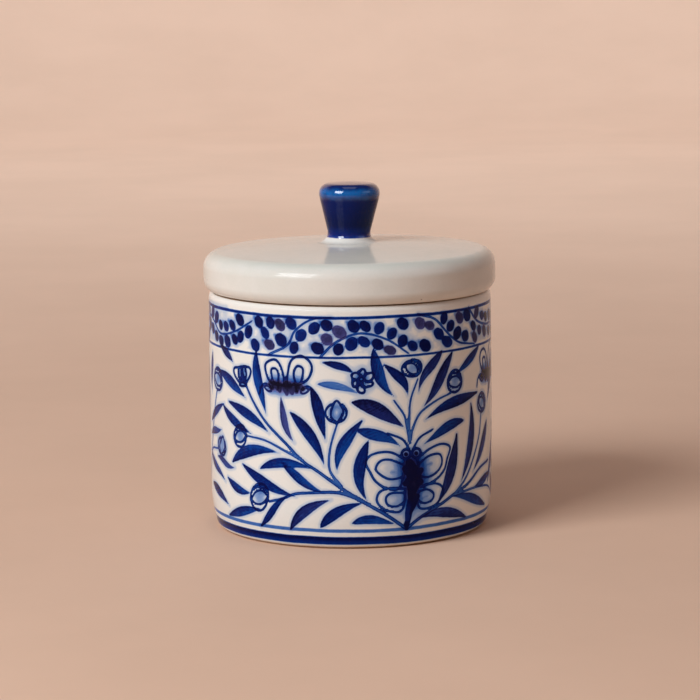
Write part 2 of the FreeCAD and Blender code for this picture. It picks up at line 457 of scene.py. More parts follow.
    def wing(self, root, reach, inner, load=0.72, wash=0.5):
        """Wing of a butterfly: an outer loop, an inner loop and a wash that fades from the body."""
        root = np.array(root, float)
        outer = smooth_line([root] + [self.loose(p) for p in reach] + [root])
        self.line(outer, 0.32, load + 0.06)
        loop = smooth_line([self.loose(p) for p in inner] + [inner[0]])
        self.line(loop, 0.31, load + 0.06)
        middle = np.mean(np.array(inner, float), axis=0)
        start = root + (middle - root) * 0.15
        for k, amount in enumerate((1.0, 0.55, 0.25)):
            p = start + (middle - start) * (0.25 + 0.35 * k)
            self.haze([start, p], 1.1 + 0.3 * k, wash * amount, 1.6)


BUD = [
    [(-0.62, 0.72), (0.1, 0.55), (0.55, 0.0), (0.48, -0.84)],
    [(-0.62, 0.72), (-0.62, 0.05), (-0.25, -0.55), (0.48, -0.84)],
    [(0.05, 0.96), (0.68, 0.42), (0.8, -0.5)],
]
TULIP = [
    [(-0.4, 0.0), (-0.95, 0.55), (-1.16, 1.08), (-0.98, 1.36), (-0.5, 1.38), (0, 1.44),
     (0.55, 1.42), (1.0, 1.34), (1.15, 1.02), (0.92, 0.52), (0.4, 0.0)],
    [(-0.16, 0.08), (-0.5, 0.7), (-0.42, 1.36)],
    [(0.16, 0.08), (0.55, 0.7), (0.45, 1.38)],
    [(0, 0.1), (-0.12, 0.7), (-0.02, 1.4)],
    [(0.05, 0.1), (0.14, 0.7), (0.06, 1.4)],
]
DROP_BUD = [
    [(0, 0), (-0.7, 0.3), (-1.0, 0.95), (-0.78, 1.5), (-0.4, 1.8)],
    [(0, 0), (0.7, 0.3), (1.0, 0.95), (0.85, 1.4), (0.62, 1.7)],
    [(-0.1, 0.1), (-0.5, 0.7), (-0.35, 1.4), (0.1, 2.1), (0.55, 1.5), (0.66, 0.85), (0.1, 0.1)],
    [(0.1, 0.1), (0.4, 0.5), (0.68, 0.95)],
]


def paint_border(brush, low, high, vines, side_rows):
    """Vines between the two lines of the border, and rows of dabs that follow them."""
    for points in vines:
        brush.stem(points, 0.36, 0.68)
    random = brush.random
    wall = brush.wall

    def try_dab(s, z, gap, tilt):
        half = random.uniform(1.4, 1.95)
        length = random.uniform(1.3, 2.4)
        z = min(max(z, low + half + 0.2 * length - 0.3), high - half - 0.2 * length)
        place = brush.place([(s, z)])[0]
        line, leaf = wall.clearance(*place)
        if line < half - 0.15 or leaf < half + gap:
            return
        purple = 1.0 if random.random() < 0.12 else 0.0
        load = random.uniform(0.74, 0.99) - 0.12 * purple
        tail = random.uniform(0.35, 0.75)
        brush.dab(s, z, half, length, tilt + random.uniform(-0.3, 0.3), load, purple, tail)

    start, end = side_rows
    for points in vines:
        line = smooth_line(points, 0.5)
        for side in (1, -1):
            for k in range(2, len(line) - 2, 2):
                way = line[k + 1] - line[k - 1]
                across = side * np.array([-way[1], way[0]]) / np.hypot(*way)
                s, z = line[k] + across * random.uniform(2.1, 2.7)
                if low + 1.2 < z < high - 1.2:
                    try_dab(s, z, 0.3, 0.5 if side * way[1] < -0.3 else -0.9)
    s = start
    while s < end:
        try_dab(s, high - 2.3 + random.uniform(-0.4, 0.2), 0.3, -0.6)
        try_dab(s + 2.0, low + 2.2 + random.uniform(-0.3, 0.3), 0.3, -0.6)
        s += random.uniform(1.2, 1.8)
    for _ in range(420):
        s = random.uniform(start, end)
        z = random.uniform(low + 1.6, high - 1.6)
        try_dab(s, z, 0.25, -0.6)


LEAVES = [
    # (start, tip, half width, bend to the left of the way it is drawn)
    ((-31.5, 60), (-27.5, 41), 1.5, -1.0),
    ((-52, 52), (-36, 45.5), 1.5, 0.9),
    ((-45, 43), (-26.5, 35.5), 1.4, 1.2),
    ((-49, 41.5), (-33.5, 34.5), 1.3, -0.8),
    ((-43.5, 24.5), (-23, 29.5), 1.6, 2.4),
    ((-30, 24), (-11.5, 25), 1.3, 2.1),
    ((-38, 24.5), (-17.5, 16.5), 1.4, -1.0),
    ((-22.5, 27), (-8, 18), 1.2, -1.0),
    ((-19, 42.5), (-8, 26), 1.5, 1.5),
    ((-12, 50), (-7.5, 34), 1.5, 0.3),
    ((3.5, 40.5), (-4.5, 24.5), 1.5, -1.8),
    ((-46.5, 19), (-34, 16), 1.2, -1.2),
    ((-47, 7), (-29.5, 11), 1.3, 0.5),
    ((-31, 5.5), (-19.5, 16.5), 1.0, 0.5),
    ((-20, 6), (-6, 16), 1.4, 1.9),
    ((-9.5, 7), (4, 15), 1.4, 1.6),
    ((0.5, 8.5), (14, 7.5), 1.2, 1.4),
    ((5, 33.5), (5, 15), 1.6, -2.7),
    ((-8.5, 58), (1, 54.5), 1.0, 0.7),
    ((7, 62), (13.5, 47), 1.6, -1.7),
    ((0.5, 46), (17, 37.5), 1.9, 1.2),
    ((2, 37.5), (15.5, 31.5), 1.5, 0.8),
    ((10.5, 57), (18, 47), 1.3, 1.4),
    ((30.5, 60), (21.5, 48), 1.3, -1.2),
    ((34.5, 59), (23, 43), 1.5, 0.4),
    ((49, 59), (36, 52), 1.2, 0.2),
    ((48, 45), (24, 39), 1.5, -1.6),
    ((40, 37), (23, 31.5), 1.4, -1.3),
    ((36.5, 33.5), (28, 12.5), 1.8, 1.8),
    ((44, 42), (38.5, 18), 1.5, 2.5),
    ((56, 35), (45, 20), 1.4, 1.0),
    ((42, 6.5), (21, 8.5), 1.4, -2.0),
    ((55, 8), (34, 14), 1.3, -0.9),
    ((60, 18), (46, 15.5), 1.2, 0.3),
    ((-61, 35), (-48, 42), 1.1, 0.5),
    ((-62, 30.5), (-50, 33.5), 1.0, 0.4),
    ((-63, 25), (-48, 17.5), 1.1, -0.4),
    ((-61, 15), (-46, 10), 1.3, 0.8),
    ((-50, 60), (-42, 55.5), 1.1, 0.5),
    ((-58, 57), (-59.5, 44), 1.2, -0.8),
    ((62, 55), (57, 41), 1.3, 0.9),
    ((64, 30), (57, 14), 1.4, 1.2),
    ((-66, 55), (-64, 40), 1.4, -1.0),
    ((-69, 47), (-66, 29), 1.3, 1.2),
]

PALE_LEAVES = [
    ((-10, 51.5), (3, 48.5), 1.0, 0.8, 0.6, 0.0),
    ((-22, 47), (-17.5, 33), 1.0, -1.2, 0.7, 0.7),
    ((-54, 24.5), (-42, 22.5), 0.9, -0.4, 0.75, 0.4),
]

STEMS = [
    # long branch to the upper left, with its side shoots
    [(17.5, 6), (11, 10.5), (5, 14.5), (-3, 19.5), (-10, 24.5), (-15, 27.5), (-21, 33), (-28, 39),
     (-33, 45), (-36, 49.5)],
    [(5, 14.5), (0, 17), (-5, 18), (-12, 18), (-18, 17), (-22, 15.5), (-27, 14)],
    [(-3, 20), (-6.5, 25), (-6.5, 32), (-4, 39.5)],
    [(-15, 27.5), (-21, 30.5), (-28, 33), (-35.5, 33.5)],
    # fan over the butterfly
    [(18.5, 32.5), (17.6, 38), (16.6, 41.5), (13.6, 46)],
    [(18.3, 34), (18.2, 40), (19, 46), (21.5, 52)],
    [(18.7, 33.5), (19.4, 37), (22.2, 41.5), (28, 45), (34, 46.5)],
    # branch to the right
    [(17.5, 6), (23, 9.5), (30, 12.5), (36, 15), (42, 17), (50, 20.5), (58, 22)],
    [(36, 15), (41, 19), (45, 24), (49, 31), (50.5, 37)],
    [(36, 14.5), (46, 15), (57, 13.5), (64, 10)],
    # plant at the side of the jar
    [(-70.5, 6), (-67, 14), (-62, 25), (-57, 38), (-54, 45)],
    [(-66, 17), (-61, 25.5), (-54, 27)],
    [(-70.5, 6), (-71, 20), (-69, 34), (-68, 46)],
]


def paint_butterfly_below(brush):
    """Butterfly with its wings spread over the root of the branches."""
    brush.wing(
        (17, 27.5),
        [(12, 30), (6.5, 30), (4.2, 27.5), (5.6, 24.3), (7.5, 21), (11, 19.2), (15.5, 19.5)],
        [(16.5, 26), (12, 27.8), (8.6, 27.3), (7.5, 25), (9.4, 22.9), (12.8, 22), (16.5, 22.8)],
    )
    brush.wing(
        (21, 27.5),
        [(25, 30), (30, 31.2), (33.4, 29.8), (32.2, 26.5), (31, 22.5), (27, 19.8), (22, 19.5)],
        [(21.5, 26), (25.5, 28), (29.3, 28.3), (30, 25.5), (28.3, 22.6), (24.5, 21.5), (21.5, 22.5)],
    )
    brush.wing(
        (17, 18.5), [(12.5, 19.2), (8.4, 17.8), (8, 15), (11, 12), (16, 11.8)],
        [(16.5, 17.5), (12.8, 17.5), (10.4, 16.3), (11, 14), (14, 13.2), (16.8, 14.8)], wash=0.4,
    )
    brush.wing(
        (21, 18.5), [(25.5, 19.3), (29.8, 18.5), (30.4, 15.8), (27, 12.4), (21.5, 12)],
        [(21.5, 17.2), (24.5, 17.4), (26.8, 16), (26, 13.9), (23, 13.4), (21, 15)], wash=0.4,
    )
    brush.haze([(19.2, 25), (19.8, 21)], 5.0, 0.88, 3.4)
    brush.haze([(19.4, 21), (19.2, 15)], 3.6, 0.76, 2.6)
    brush.haze([(19.2, 24), (19.2, 16)], 7.0, 0.36, 5.0)
    for tip, width in (((26, 25.5), 1.5), ((26, 22), 1.0), ((12.5, 24), 1.1), ((24.5, 15.5), 0.9)):
        brush.haze([(19.2, tip[1] - 1), tip], (width, 0.2), 0.75, 1.6)
    body = smooth_line([(18.3, 26.6), (19.0, 24.5), (19.8, 21.5), (19.2, 18), (18.8, 14.5)])
    along = np.linspace(0, 1, len(body))
    brush.blot(body, np.interp(along, [0, 0.25, 0.5, 0.72, 1], [1.2, 2.2, 2.6, 1.6, 1.1]), 1.15, 0.5)
    spurs = ((17.6, 24, -0.9, 0.8), (21.2, 23, 1.1, 0.8), (21.4, 20.6, 0.9, -0.4),
             (17.6, 20.5, -0.7, -0.4))
    for x, z, dx, dz in spurs:
        brush.blot([(x, z), (x + dx, z + dz)], (1.3, 0.9), 1.05, 0.3)
    brush.blot([(20.9, 15.8), (19.4, 13), (18.6, 10.5)], (0.9, 1.0, 0.4), 1.1, 0.3)
    brush.blot([(18.6, 14.5), (18.0, 11), (17.6, 7)], (1.1, 1.25, 0.8), 0.86, 0.0, 0.1)
    for side in (-1, 1):
        eye = (18.9 + 1.75 * side, 29.3)
        brush.line(oval(eye, 1.5, 1.45), 0.38, 1.0)
        brush.haze([eye, (eye[0], eye[1] - 0.5)], 1.0, 0.55, 0.8)
        brush.blot([(eye[0] - 0.15, eye[1]), (eye[0] + 0.1, eye[1] - 0.2)], 0.6, 1.1, 0.5)
        feeler = [(18.9 + 0.8 * side, 31), (18.9 + 3 * side, 34), (18.9 + 7.5 * side, 36)]
        brush.line(smooth_line(feeler), 0.3, 0.8)


def paint_butterfly_above(brush, c):
    """Butterfly seen from its back edge: two upright wings over a dark body."""
    s, z = c
    for side in (-1, 1):
        w = 0.9 if side < 0 else 1.08
        reach = [(0.6, 3.5), (1.8, 7), (4.4, 8.8), (7.4, 7.6), (8.0, 4.8), (5.8, 1.2)]
        inner = [(3.0, 0.4), (2.6, 3.4), (3.8, 5.8), (5.4, 5.2), (5.4, 3), (4.6, 0.6)]
        brush.wing(
            (s + 0.4 * side, z), [(s + side * w * x, z + w * y) for x, y in reach],
            [(s + side * w * x, z + w * y) for x, y in inner], wash=0.42, load=0.86,
        )
        feeler = [(s + side * 5.6, z - 0.4), (s + side * 7.4, z + 0.2), (s + side * 9.0, z - 1.0)]
        brush.line(smooth_line(feeler + [(s + side * 9.6, z - 3.2)]), 0.27, 0.85)
        brush.line(oval((s + side * 6.4, z - 1.2), 1.5, 0.7, 0.5 * side), 0.27, 0.85, 0.4)
    brush.haze([(s - 4, z), (s + 4, z + 0.2)], 2.3, 0.8, 2.4)
    for k in range(13):
        x = s - 5.2 + 0.87 * k + brush.random.uniform(-0.4, 0.4)
        middle = 1 - abs(x - s) / 9
        top = z + middle * brush.random.uniform(-0.4, 0.8)
        foot = z - middle * brush.random.uniform(1.5, 2.8)
        brush.blot([(x, top), (x + brush.random.uniform(-0.9, 0.9), foot)], (0.9, 0.65), 0.7, 1.0)


def paint_plants(brush):
    """One half of the field: branches from a root, buds, leaves and butterflies."""
    brush.haze([(-64, 72.2), (-46, 72)], (0.2, 0.5), 0.3, 1.8)
    for points in STEMS:
        brush.stem(points, *((0.52, 0.78) if len(points) > 6 else (0.36, 0.66)))
    brush.blot([(17.4, 7.4), (17.6, 5.8)], (1.0, 0.5), 0.95)
    for start, tip, half, bend in LEAVES:
        brush.leaf(start, tip, half, bend)
    for start, tip, half, bend, load, tint in PALE_LEAVES:
        brush.leaf(start, tip, half, bend, load, tint)
    brush.tulip((-37.5, 49.8), 3.6, 0.12)
    brush.drop_bud((-4.5, 39.5), 3.3, 0.05)
    brush.bud((-39, 33), 3.5, 3.1, 1.2)
    brush.bud((-31, 15), 4.3, 3.6, 1.1)
    brush.bud((19.5, 55.5), 3.2, 2.7, 0.1, halo=0.15)
    brush.bud((36, 50), 3.3, 3.4, 0.9, halo=0.3)
    brush.bud((-53, 49), 3.8, 3.4, 0.4, halo=0.2)
    brush.drop_bud((-51.5, 25.0), 3.1, -0.25, halo=0.35)
    brush.bud((51.5, 41), 3.2, 3.0, 0.2, halo=0.3)
    brush.bud((-68, 50), 3.2, 3.6, 0.1, halo=0.2)
    brush.cluster((3.5, 52.5), 3.7)
    paint_butterfly_below(brush)
    paint_butterfly_above(brush, (-20.5, 50.5))
    paint_butterfly_above(brush, (57.5, 50.0))


def paint_side_plant(brush, s):
    """Upright plant that fills the gap between the two halves of the painting."""
    brush.stem([(s, 6), (s - 0.8, 15), (s + 0.9, 26), (s - 0.3, 38.5)], 0.42, 0.72)
    for k in range(7):
        side = 1 if k % 2 else -1
        low, reach = 8.5 + 4.2 * k, 9.0 - 0.5 * k
        start = (s + side * 0.6, low)
        brush.leaf((s + side * reach, low + 8.5), start, 1.35, side * 1.3)
    brush.tulip((s - 0.3, 39.5), 3.4, 0.1)


VINES = [
    [(-69, 61), (-62, 68), (-56, 67), (-50, 64), (-41, 65.5), (-33, 69.5)],
    [(-26, 60), (-20, 63), (-17, 67.5), (-12, 71), (-6, 72)],
    [(-9, 60), (-4, 64.5), (3, 67), (11, 65), (18, 60.5)],
    [(22, 72), (28, 70), (33, 65), (38, 62), (46, 60.3)],
    [(43, 72), (48, 67.5), (55, 65.5), (63, 65), (70, 62)],
]


def paint(wall):
    """Both halves of the painting. The one at the back is the mirror image, freshly drawn."""
    for shift, mirror, jitter in ((0.0, False, 0.25), (TURN / 2, True, 0.8)):
        brush = Brush(wall, shift, mirror, jitter)
        paint_border(brush, 60.0, 72.0, VINES, (-70, 70))
        paint_plants(brush)
        if not mirror:
            paint_side_plant(brush, TURN / 4)


# ---- the pieces ----
FINE, COARSE = 600, 150


def jar_warp(radius, z, turn):
    """The wall is a little out of round, as thrown and fired clay is."""
    lift = min(1.0, max(0.0, z / 20))
    out = 0.05 * math.sin(2 * turn + 0.7) + 0.03 * math.sin(3 * turn + 2.0 + 0.03 * z)
    return radius + lift * out, z


def make_jar():
    rim, heel = BELLY - 0.25, BELLY - 0.15
    rim_z = SEAT_Z - RIM_ROUND
    heel_z, toe_z, sweep = 13.0, LIP_Z + 2.1, 38.0
    toe_deg = math.degrees(math.asin((heel_z - toe_z) / sweep))
    heel_centre = heel - sweep
    toe = (heel_centre + sweep * math.cos(math.radians(toe_deg)), toe_z)
    wall = outline(
        bow((LIP_OUTER, LIP_Z), toe, 0.3, 0.1),
        arc(heel_centre, heel_z, sweep, -toe_deg, 0, 0.1),
        bow((heel, heel_z), (rim, rim_z), 0.2, 0.1),
        arc(rim - RIM_ROUND, rim_z, RIM_ROUND, 0, 90, 0.1),
    )
    wall = even(wall, 0.5)
    underside = outline(
        [(0.0, UNDERSIDE_Z)], [(r, UNDERSIDE_Z) for r in np.linspace(8, FOOT_OUTER - 0.25, 6)],
        arc(FOOT_OUTER - 0.25, UNDERSIDE_Z - 0.25, 0.25, 90, 0, 0.2),
        [(FOOT_OUTER, LIP_Z + 0.1), (FOOT_OUTER + 0.1, LIP_Z), (LIP_OUTER - 0.25, LIP_Z)],
    )
    mouth_z, fillet_z = SEAT_Z - MOUTH_ROUND, FLOOR_Z + INNER_FILLET
    inside = outline(
        [(wall[-1][0] - 0.35, SEAT_Z)],
        arc(MOUTH + MOUTH_ROUND, mouth_z, MOUTH_ROUND, 90, 180, 0.25),
        even([(MOUTH, mouth_z), (MOUTH, fillet_z)], 5.0),
        arc(MOUTH - INNER_FILLET, fillet_z, INNER_FILLET, 0, -90, 0.7),
    )
    bottom = [(r, FLOOR_Z) for r in (28.0, 18.0, 8.0, 0.0)]
    rings = [(r, z, COARSE) for r, z in underside]
    first_wall = len(rings)
    rings += [(r, z, FINE) for r, z in wall]
    first_inside = len(rings)
    rings += [(r, z, COARSE) for r, z in inside]
    first_bottom = len(rings)
    rings += [(r, z, COARSE) for r, z in bottom]
    lathe = Lathe("painted_jar", rings, warp=jar_warp)

    azimuths = [Lathe.azimuth(i / FINE) for i in range(FINE)]
    brushed = Wall(np.array(azimuths) * DRAWN_RADIUS, np.array([z for _, z in wall]))
    paint(brushed)
    brushed.settle()
    for name in ("line_edge", "line_side", "line_half", "line_load", "leaf_edge", "leaf_load",
                 "tint", "wash"):
        lathe.field(name, getattr(brushed, name), first_wall)
    map_jar(lathe, first_wall, first_inside, first_bottom)
    return lathe.object


def map_jar(lathe, first_wall, first_inside, first_bottom):
    """Lays the jar out flat: the wall in two strips, and the rest in what is left over."""
    layer = lathe.mesh.uv_layers.new(name="OFBake")
    rows = first_inside - first_wall - 1
    inner = first_bottom - first_inside
    at = []
    for ring, corners in zip(lathe.face_ring, lathe.corners):
        half = min(1, int(2 * min(f for f, _ in corners) + 1e-6))
        for f, r in corners:
            if first_wall <= ring < first_inside - 1:
                at += [2 * f - half, 0.003 + 0.405 * half + 0.394 * (r - first_wall) / rows]
            elif first_inside - 1 <= ring < first_bottom - 1:
                at += [0.42 + 0.57 * f, 0.815 + 0.18 * (r - first_inside + 1) / inner]
            else:
                centre = 0.1 if ring < first_wall else 0.3
                share = 0.088 * lathe.rings[r][0] / BELLY
                at += [centre + share * math.cos(TAU * f), 0.905 + share * math.sin(TAU * f)]
    layer.data.foreach_set("uv", at)


def make_foot():
    low, high, bevel_z = GROUND_Z, UNDERSIDE_Z, GROUND_Z + FOOT_BEVEL
    rings = outline(
        [(RING_INNER, high)],
        arc(RING_INNER + FOOT_BEVEL, bevel_z, FOOT_BEVEL, 180, 270, 0.12),
        [(38.6, low), (40.2, low)],
        arc(FOOT_OUTER - FOOT_BEVEL, bevel_z, FOOT_BEVEL, -90, 0, 0.12),
        [(FOOT_OUTER, high)],
    )
    return turned("foot", rings, 240, closed=True)


def lid_warp(radius, z, turn):
    """The lid sagged by a third of a millimetre on its left in the kiln, and isn't quite round."""
    share = min(1.0, max(0.0, (z - LID_SEAT_Z - 4) / 6)) * radius / LID_OUTER
    out = 0.05 * math.sin(2 * turn - 0.5) if radius > 42 else 0.0
    if radius > 42.3 and z < LID_SEAT_Z + 1:
        z -= 0.12 * math.sin(turn)
    return radius + out, z + 0.25 * share * (math.sin(turn) - 0.4 * (radius / LID_OUTER) ** 3)


def make_lid():
    seat, edge = LID_SEAT_Z, LID_OUTER
    start_r = edge - LID_TOP_ROUND * (1 - math.sin(LID_SLOPE))
    start_z = LID_TOP_Z - LID_TOP_ROUND * (1 - math.cos(LID_SLOPE))
    seat_deg = -math.degrees(math.asin((LID_BOTTOM_Z - seat - SEAM_GAP) / LID_BOTTOM_ROUND))
    hollow = bow((RING_INNER - 2, CEILING_Z), (0.0, CEILING_Z + 1.6), 0.4, 2.5)
    under = outline(hollow[::-1], [(SKIRT_INNER, CEILING_Z), (SKIRT_INNER, seat)])
    over = outline(
        [(SKIRT_INNER, seat), (42.2, seat), (42.45, seat + 0.8 * SEAM_GAP)],
        arc(edge - LID_BOTTOM_ROUND, LID_BOTTOM_Z, LID_BOTTOM_ROUND, seat_deg, 0, 0.3),
        arc(edge - LID_TOP_ROUND, LID_TOP_Z - LID_TOP_ROUND, LID_TOP_ROUND, 0,
            90 - math.degrees(LID_SLOPE), 0.3),
        ball_cap(start_r, start_z, LID_SLOPE, COLLAR_OUTER, 46),
        [(r, LAND_Z) for r in (6.0, 3.0, 0.0)],
    )
    return turned("glazed_lid", under[:-1] + over, 256, warp=lid_warp)


def make_locating_ring():
    inner, outer = RING_INNER, MOUTH - RING_CLEARANCE
    high, seat, round_z = CEILING_Z, LID_SEAT_Z, RING_BOTTOM_Z + RING_ROUND
    rings = outline(
        [(inner, high - 2)], even([(inner, high - 2), (inner, round_z)], 2.0),
        arc(inner + RING_ROUND, round_z, RING_ROUND, 180, 270, 0.2),
        arc(outer - RING_ROUND, round_z, RING_ROUND, -90, 0, 0.2),
        even([(outer, round_z), (outer, seat)], 1.6), [(RING_OUTER, seat), (RING_OUTER, high)],
        arc(inner - 2, high - 2, 2, 72, 0, 0.3),
    )
    return turned("rim_ring", rings[:-1], 240, closed=True)


def knob_outline():
    """(cove centre r, z, shoulder centre r, z) of the knob's side."""
    lean = math.radians(KNOB_LEAN)
    shoulder_r = KNOB_OUTER - KNOB_ROUND
    ball = shoulder_r / math.sin(KNOB_SLOPE) + KNOB_ROUND
    shoulder_z = KNOB_TOP_Z - ball + (ball - KNOB_ROUND) * math.cos(KNOB_SLOPE)
    cove_z = LAND_Z + COVE
    cove_r = shoulder_r + (COVE + KNOB_ROUND) / math.cos(lean) - (shoulder_z - cove_z) * math.tan(lean)
    return cove_r, cove_z, shoulder_r, shoulder_z


def cove_deg(z):
    """Where on the cove's circle this height is."""
    return 180 - math.degrees(math.asin((z - LAND_Z - COVE) / COVE))


def knob_warp(radius, z, turn):
    """The knob was shaped in the fingers, so it is a touch oval and leans a hair."""
    high = min(1.0, max(0.0, (z - COLLAR_TOP_Z) / 12))
    oval = 1 + 0.006 * high * math.sin(2 * turn + 1.1)
    return radius * oval + 0.25 * high * math.sin(turn) * min(1, radius / 5), z


def make_collar():
    cove_r, cove_z, _, _ = knob_outline()
    rings = outline(
        [(0.0, COLLAR_BOTTOM_Z), (5.0, COLLAR_BOTTOM_Z), (cove_r + 0.17, cove_z - 3.03)],
        arc(cove_r, cove_z, COVE, 270, cove_deg(COLLAR_TOP_Z), 0.15),
        [(5.0, COLLAR_TOP_Z), (0.0, COLLAR_TOP_Z)],
    )
    return turned("collar", rings, 128)


def make_knob():
    cove_r, cove_z, shoulder_r, shoulder_z = knob_outline()
    top_r = shoulder_r + KNOB_ROUND * math.sin(KNOB_SLOPE)
    top_z = shoulder_z + KNOB_ROUND * math.cos(KNOB_SLOPE)
    side = arc(cove_r, cove_z, COVE, cove_deg(KNOB_BOTTOM_Z), 180 - KNOB_LEAN, 0.2)
    shoulder = arc(shoulder_r, shoulder_z, KNOB_ROUND, -KNOB_LEAN, 83, 0.2)
    rings = outline(
        [(0.0, KNOB_BOTTOM_Z), (4.0, KNOB_BOTTOM_Z)], side, even([side[-1], shoulder[0]], 0.4),
        shoulder, ball_cap(top_r, top_z, KNOB_SLOPE, 0.0, 14),
    )
    return turned("cobalt_knob", rings, 144, warp=knob_warp)


# ---- materials ----
class Nodes:
    """Short names for building one material's node tree."""

    def __init__(self, name):
        self.material = bpy.data.materials.new(name)
        self.material.use_nodes = True
        self.tree = self.material.node_tree
        self.shader = self.tree.nodes["Principled BSDF"]
        place = self.new("ShaderNodeTexCoord").outputs["Object"]
        scaled = self.new("ShaderNodeVectorMath", operation="SCALE")
        scaled.inputs["Scale"].default_value = 1 / MM
        self.link(place, scaled.inputs[0])
        self.place = scaled.outputs["Vector"]  # millimetres
        apart = self.new("ShaderNodeSeparateXYZ")
        self.link(self.place, apart.inputs[0])
        self.x, self.y, self.z = apart.outputs
        flat = self.new("ShaderNodeCombineXYZ")
        self.link(self.x, flat.inputs["X"])
        self.link(self.y, flat.inputs["Y"])
        length = self.new("ShaderNodeVectorMath", operation="LENGTH")
        self.link(flat.outputs[0], length.inputs[0])
        self.radius = length.outputs["Value"]

    def new(self, kind, **settings):
        node = self.tree.nodes.new(kind)
        for key, value in settings.items():
            setattr(node, key, value)
        return node

    def link(self, source, socket):
        self.tree.links.new(source, socket)

    def put(self, value, socket):
        """Links a socket, or sets a plain number or colour."""
        if hasattr(value, "links"):
            self.link(value, socket)
        elif isinstance(value, tuple) and len(value) == 3 and socket.type == "RGBA":
            socket.default_value = (*value, 1)
        else:
            socket.default_value = value

    def math(self, operation, a, b=0.0, clamp=False):
        node = self.new("ShaderNodeMath", operation=operation, use_clamp=clamp)
        self.put(a, node.inputs[0])
        self.put(b, node.inputs[1])
        return node.outputs[0]

    def add(self, a, b, clamp=False):
        return self.math("ADD", a, b, clamp)

    def times(self, a, b, clamp=False):
        return self.math("MULTIPLY", a, b, clamp)

    def less(self, a, b, clamp=False):
        return self.math("SUBTRACT", a, b, clamp)

    def field(self, name):
        return self.new("ShaderNodeAttribute", attribute_name=name).outputs["Fac"]

    def noise(self, size, detail=2.0, rough=0.5, stretch=None):
        """Noise from 0 to 1 whose features are about size millimetres across."""
        node = self.new("ShaderNodeTexNoise")
        node.inputs["Scale"].default_value = 1 / size
        node.inputs["Detail"].default_value = detail
        node.inputs["Roughness"].default_value = rough
        place = self.place
        if stretch:
            bent = self.new("ShaderNodeVectorMath", operation="MULTIPLY")
            self.link(place, bent.inputs[0])
            bent.inputs[1].default_value = stretch
            place = bent.outputs[0]
        self.link(place, node.inputs["Vector"])
        return node.outputs["Fac"]

    def swing(self, size, amount, detail=2.0):
        """Noise about zero, within about plus and minus amount."""
        return self.times(self.less(self.noise(size, detail), 0.5), 2.4 * amount)

    def rise(self, value, low, high):
        """0 below low, 1 above high, smooth between."""
        node = self.new("ShaderNodeMapRange", interpolation_type="SMOOTHSTEP")
        self.put(value, node.inputs["Value"])
        self.put(low, node.inputs["From Min"])
        self.put(high, node.inputs["From Max"])
        return node.outputs["Result"]

    def fall(self, value, low, high):
        return self.less(1.0, self.rise(value, low, high))

    def ramp(self, value, stops):
        node = self.new("ShaderNodeValToRGB")
        node.color_ramp.interpolation = "EASE"
        points = node.color_ramp.elements
        while len(points) < len(stops):
            points.new(0.5)
        for point, (at, colour) in zip(points, stops):
            point.position = at
            point.color = (*colour, 1)
        self.put(value, node.inputs["Fac"])
        return node.outputs["Color"]

    def mix(self, share, a, b, how="MIX"):
        node = self.new("ShaderNodeMix", data_type="RGBA", blend_type=how)
        self.put(share, node.inputs["Factor"])
        self.put(a, node.inputs["A"])
        self.put(b, node.inputs["B"])
        return node.outputs["Result"]

    def stain(self, colour, mask, share, tint):
        """The colour, with this share of the tint where the mask is 1."""
        return self.mix(self.times(mask, share), colour, tint)

    def patches(self, size, low, high, *how):
        """Noise made into patches: 0 where it is below low, 1 above high."""
        return self.rise(self.noise(size, *how), low, high)

    def blend(self, share, a, b):
        """Plain number between a and b."""
        return self.add(self.times(self.less(1.0, share), a), self.times(share, b))

    def bump(self, height, depth):
        """Relief whose full height is depth millimetres."""
        node = self.new("ShaderNodeBump")
        node.inputs["Strength"].default_value = 1.0
        node.inputs["Distance"].default_value = depth * MM
        self.link(height, node.inputs["Height"])
        self.link(node.outputs[0], self.shader.inputs["Normal"])

    def finish(self, colour, roughness):
        self.link(colour, self.shader.inputs["Base Color"])
        self.put(roughness, self.shader.inputs["Roughness"])
        return self.material


LINES_ROUND = ((71.7, 0.40, 0.84), (59.6, 0.3, 0.82), (6.0, 0.5, 0.58))  # z, half width, load
GLAZE = (0.775, 0.775, 0.75)
CLAY = (0.42, 0.27, 0.17)
PAINT = [
    (0.0, GLAZE),
    (0.14, (0.50, 0.58, 0.70)),
    (0.32, (0.20, 0.32, 0.60)),
    (0.52, (0.045, 0.14, 0.45)),
    (0.70, (0.002, 0.045, 0.28)),
    (0.85, (0.0006, 0.012, 0.14)),
    (1.0, (0.0005, 0.003, 0.055)),
]
SCORCHED = [
    (0.0, GLAZE),
    (0.45, (0.22, 0.20, 0.40)),
    (0.7, (0.062, 0.06, 0.215)),
    (0.88, (0.028, 0.028, 0.10)),
    (1.0, (0.004, 0.003, 0.01)),
]


def white_glaze(n):
    """Warm white glaze that varies a little from place to place, with a few tiny specks."""
    base = n.mix(n.patches(26.0, 0.35, 0.68, 3.0), (0.765, 0.77, 0.75), (0.80, 0.79, 0.76))
    base = n.stain(base, n.patches(7.0, 0.5, 0.75, 3.0), 0.3, (0.745, 0.765, 0.735))
    base = n.stain(base, n.patches(0.6, 0.42, 0.72, 3.0, 0.7), 0.16, (0.66, 0.655, 0.63))
    dots = n.new("ShaderNodeTexVoronoi", feature="F1")
    dots.inputs["Scale"].default_value = 1 / 5.5
    n.link(n.place, dots.inputs["Vector"])
    kind = n.new("ShaderNodeSeparateColor")
    n.link(dots.outputs["Color"], kind.inputs[0])
    rare = n.rise(kind.outputs[0], 0.82, 0.84)
    speck = n.times(n.fall(dots.outputs["Distance"], 0.03, 0.06), rare)
    return n.stain(base, speck, 0.7, (0.20, 0.15, 0.10))


